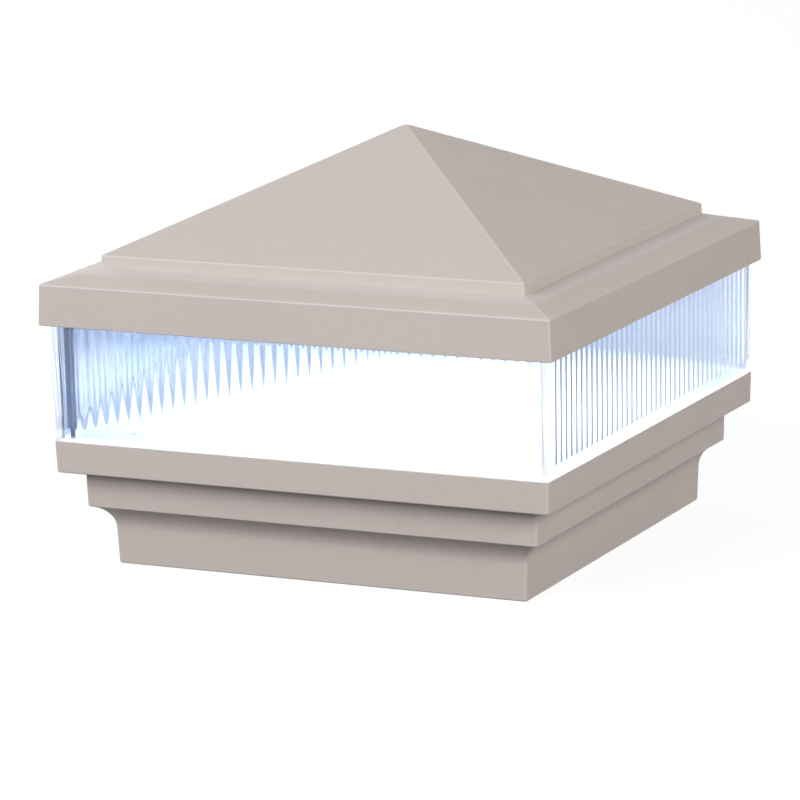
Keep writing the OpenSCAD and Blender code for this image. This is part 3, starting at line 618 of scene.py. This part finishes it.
def make_lens():
    """The clear lens: a tongue, and over it a drafted wall with a shoulder outside and flutes inside."""
    b = bmesh.new()
    line = [(TONGUE, TONGUE_Z), (TONGUE, LENS_Z), (LENS_BOTTOM, LENS_Z), (LENS_SHOULDER, SHOULDER_Z),
            (LENS_TOP, SHOULDER_Z), (LENS_TOP, LENS_TOP_Z)]
    outside = square_rings(b, line, LENS_CORNER_R, segments=6)
    for face in b.faces:
        face.smooth = True
    bottom, top = add_lens_inside(b)
    fill_between(b, outside[0], bottom)
    fill_between(b, outside[-1], top)
    bmesh.ops.recalc_face_normals(b, faces=b.faces)
    shown = mesh_object(b, "lens_glass", "clear_lens")
    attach(shown, "base")
    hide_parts("lens")


# --- Base moulding -------------------------------------------------------

def base_outside():
    """The base's section from the deck's underside, round the collar and up to the lens."""
    middle = COLLAR_TOP + COVE_R
    cove_end_z = COVE_Z + math.sqrt(COVE_R ** 2 - (middle - LOWER_BAND_BOTTOM) ** 2)
    arc = [math.radians(a) for a in range(4, 75, 5)]
    cove = [(middle - COVE_R * math.cos(a), COVE_Z + COVE_R * math.sin(a), 0) for a in arc]
    collar = [(COLLAR_IN, DECK_Z, 0), (COLLAR_IN, COLLAR_Z, 0.4), (COLLAR_BOTTOM, COLLAR_Z, 0.6),
              (COLLAR_TOP, COVE_Z, 0)]
    bands = [(LOWER_BAND_BOTTOM, cove_end_z, 0.45), (LOWER_BAND_TOP, UPPER_BAND_Z, 0.35),
             (UPPER_BAND_BOTTOM, UPPER_BAND_Z, 0.6), (UPPER_BAND_TOP, BASE_Z, 0.3)]
    return collar + cove + bands


def base_inside():
    """The rest of that section: the lens's groove, the ledge and the wiring space, down to the deck."""
    return [(GROOVE_OUT, BASE_Z, 0.2), (GROOVE_OUT, GROOVE_Z, 0), (GROOVE_IN, GROOVE_Z, 0),
            (GROOVE_IN, FLOOR_Z, 0.2), (LEDGE_IN, FLOOR_Z, 0.3), (LEDGE_IN, LEDGE_Z, 0),
            (WIRING_IN, LEDGE_Z, 0), (WIRING_IN, DECK_TOP_Z, 0)]


def grommet_seat():
    """The round steps in the deck that hold the grommet, from the deck's top to its underside."""
    bore, recess, boss = 5.55, 8.0, 10.0
    boss_z, seat_z = DECK_TOP_Z + 2.0, DECK_Z + 1.8
    return rounded([(boss, DECK_TOP_Z, 0), (boss, boss_z, 0.3), (bore, boss_z, 0), (bore, seat_z, 0),
                    (recess, seat_z, 0), (recess, DECK_Z, 0)])


def add_boss(b, x, y, top, pilot_z):
    """A screw boss: a round post with a blind pilot hole, its foot sunk in the deck."""
    boss, pilot, axis, foot = 3.55, 1.5, 0.02, DECK_Z + 0.5
    line = [(boss, foot), (boss, top), (pilot, top), (pilot, pilot_z), (axis, pilot_z), (axis, foot)]
    round_rings(b, line, x, y, n=32, closed=True)


def add_ribs(b):
    """Two low ribs on each inside face of the collar, which centre it on the post."""
    half_w, out, start = 1.2, 0.5, 3.0
    for side in range(4):
        for s in (-1, 1):
            u = s * COLLAR_IN * 0.6
            low, high = (u - half_w, COLLAR_IN - out, start), (u + half_w, COLLAR_IN + 1, DECK_Z + 0.2)
            for _ in range(side):
                low, high = (-high[1], low[0], low[2]), (-low[1], high[0], high[2])
            add_box(b, low, high, edge=0.25)


def make_base():
    """The base moulding: the section run round, and the deck with its bosses, pad and grommet seat."""
    b = bmesh.new()
    squares = square_rings(b, rounded(base_outside() + base_inside()), MOULD_CORNER_R)
    discs = round_rings(b, grommet_seat())
    fill_between(b, squares[-1], discs[0])
    fill_between(b, squares[0], discs[-1])
    corner_screw = COLLAR_IN - CORNER_SCREW_IN
    for x in (-corner_screw, corner_screw):
        for y in (-corner_screw, corner_screw):
            add_boss(b, x, y, FLOOR_Z, FLOOR_Z - FLOOR_SCREW_L)
    clamp_x, clamp_y = (CLAMP_LOW[0] + CLAMP_HIGH[0]) / 2, 9
    for y in (-clamp_y, clamp_y):
        add_boss(b, clamp_x, y, CLAMP_POST_Z, DECK_Z + 1)
    add_box(b, (*BLOCK_LOW[:2], DECK_TOP_Z - 1.3), (*BLOCK_HIGH[:2], PAD_Z), edge=0.3)
    add_ribs(b)
    stand_in(b, "base_shell", "base", "taupe_moulding", "base_moulding")


# --- Roof ----------------------------------------------------------------

PYRAMID_PITCH = math.atan2(APEX_Z - EAVE_Z, EAVE)
LEDGE_PITCH = math.atan2(LEDGE_RISE, LEDGE_W)


def pyramid(x):
    """Level of the pyramid's outside where its half width is x."""
    return APEX_Z - x * math.tan(PYRAMID_PITCH)


def under_pyramid(x):
    return pyramid(x) - ROOF_WALL / math.cos(PYRAMID_PITCH)


def under_ledge(x):
    return RISER_Z + (RISER - x) * math.tan(LEDGE_PITCH) - ROOF_WALL / math.cos(LEDGE_PITCH)


def make_roof():
    """The roof: skirt, sloped ledge, riser and pyramid, hollow inside."""
    outer = rounded([(ROOF_IN, LANDING_Z, 0), (SKIRT_IN, LANDING_Z, 0.3), (SKIRT_IN, SKIRT_Z, 0.3),
                     (SKIRT_BOTTOM, SKIRT_Z, 0.35), (SKIRT_TOP, SKIRT_TOP_Z, 0.6), (RISER, RISER_Z, 0),
                     (EAVE, EAVE_Z, 0.5), (TIP_R, pyramid(TIP_R), 0)])
    tip = [(x, pyramid(x) - TIP_DROP * (1 - x / TIP_R) ** 2) for x in (TIP_R, 1.5, 0.9, 0.45, 0.15)]
    tip_in = 0.5
    inner = [(ROOF_IN, LANDING_Z), (ROOF_IN, under_ledge(ROOF_IN)), (RISER_IN, under_ledge(RISER_IN)),
             (RISER_IN, under_pyramid(RISER_IN)), (tip_in, under_pyramid(tip_in))]
    b = bmesh.new()
    outside = square_rings(b, outer[:-1] + tip, MOULD_CORNER_R)
    b.faces.new(outside[-1])
    inside = square_rings(b, inner, corner=0.3)
    b.faces.new(inside[-1])
    fill_between(b, outside[0], inside[0])
    stand_in(b, "roof_shell", "roof", "taupe_moulding", "roof_cap")


make_lens()
make_base()
make_roof()


# --- Floor, world, lamps and camera --------------------------------------
# Lengths are in metres here, except the camera's.

NEAR_LEVEL, FAR_LEVEL = 0.90, 0.985     # the floor's own white, less where the lamps add to it
NEAR, FAR, FLOOR_R = 1.2, 3.5, 9.0
FLOOR_GAP = 0.00002                     # keeps the floor just under the collar's edge
FLOOR_COLOUR = (0.14, 0.14, 0.143, 1)
WHITE = (1, 1, 1, 1)
SOFT_LEVEL, SEEN_LEVEL = 0.08, 1.0      # the world as it lights the object, and as it is seen
LAMP_AIM = (0, 0, 0.06)

# the photo's camera, in degrees, millimetres and pixels
CAMERA_AZIMUTH, CAMERA_ELEVATION, CAMERA_ROLL = 25.447, 12.396, -1.330
CAMERA_DISTANCE, CAMERA_ACROSS, CAMERA_LEVEL = 1481.5, -3.674, 41.890
FOCAL_PIXELS, PHOTO_PIXELS, SENSOR = 4767.4, 800, 36


def make_floor():
    """A grey disc that takes the object's shadow, and is white to the rays that show the background."""
    b = bmesh.new()
    bmesh.ops.create_circle(b, cap_ends=True, segments=64, radius=FLOOR_R)
    mesh = bpy.data.meshes.new("studio_floor")
    b.to_mesh(mesh)
    b.free()
    floor = bpy.data.objects.new("studio_floor", mesh)
    floor.location = (0, 0, -FLOOR_GAP)
    bpy.context.scene.collection.objects.link(floor)
    g = Graph(bpy.data.materials.new("studio_floor"))
    away = g.add("ShaderNodeVectorMath", operation="LENGTH")
    g.join(g.place, away.inputs[0])
    level = g.span(away.outputs["Value"], NEAR_LEVEL, FAR_LEVEL, start=NEAR, end=FAR)
    glow = g.add("ShaderNodeEmission", Color=WHITE)
    g.join(g.maths("MULTIPLY", g.seen(), level), glow.inputs["Strength"])
    matte = g.add("ShaderNodeBsdfDiffuse", Color=FLOOR_COLOUR)
    both = g.add("ShaderNodeAddShader")
    g.join(matte.outputs[0], both.inputs[0])
    g.join(glow.outputs[0], both.inputs[1])
    g.join(both.outputs[0], g.output.inputs["Surface"])
    mesh.materials.append(g.owner)


def make_world():
    """A soft even light, which is plain white to the rays that show the background."""
    world = bpy.data.worlds.new("studio")
    bpy.context.scene.world = world
    g = Graph(world, "ShaderNodeOutputWorld")
    mix = g.add("ShaderNodeMixShader")
    g.join(g.seen(), mix.inputs[0])
    for socket, level in ((mix.inputs[1], SOFT_LEVEL), (mix.inputs[2], SEEN_LEVEL)):
        g.join(g.add("ShaderNodeBackground", Color=WHITE, Strength=level).outputs[0], socket)
    g.join(mix.outputs[0], g.output.inputs["Surface"])


def area_light(name, place, size, watts, colour=(1, 1, 1)):
    """A square lamp that faces the object."""
    data = bpy.data.lights.new(name, "AREA")
    data.shape = "SQUARE"
    data.size = size
    data.energy = watts
    data.color = colour
    lamp = bpy.data.objects.new(name, data)
    lamp.location = place
    lamp.rotation_mode = "QUATERNION"
    lamp.rotation_quaternion = (Vector(LAMP_AIM) - Vector(place)).to_track_quat("-Z", "Y")
    bpy.context.scene.collection.objects.link(lamp)


def make_camera():
    """The camera that was fitted to the photo's edges; it looks past the axis by a little."""
    az, el, roll = (math.radians(a) for a in (CAMERA_AZIMUTH, CAMERA_ELEVATION, CAMERA_ROLL))
    back = Vector((math.sin(az) * math.cos(el), -math.cos(az) * math.cos(el), math.sin(el)))
    right = Vector((math.cos(az), math.sin(az), 0))
    up = back.cross(right)
    side = right * math.cos(roll) + up * math.sin(roll)
    top = up * math.cos(roll) - right * math.sin(roll)
    place = (Vector((0, 0, CAMERA_LEVEL)) + right * CAMERA_ACROSS + back * CAMERA_DISTANCE) * MM
    data = bpy.data.cameras.new("camera")
    data.sensor_width = SENSOR
    data.lens = FOCAL_PIXELS * SENSOR / PHOTO_PIXELS
    data.clip_start, data.clip_end = 0.05, 50
    camera = bpy.data.objects.new("camera", data)
    bpy.context.scene.collection.objects.link(camera)
    turn = Matrix((side, top, back)).transposed().to_4x4()
    camera.matrix_world = Matrix.Translation(place) @ turn
    bpy.context.scene.camera = camera


make_floor()
make_world()
area_light("key", place=(-0.81, -1.69, 1.12), size=1.3, watts=41.5, colour=(0.943, 0.974, 1.0))
area_light("fill", place=(1.79, -0.74, 0.93), size=1.1, watts=32.2, colour=(1.0, 0.985, 0.975))
area_light("side", place=(-2.3, 1.25, 0.78), size=0.9, watts=46)
make_camera()
bpy.context.scene.view_settings.view_transform = "Standard"
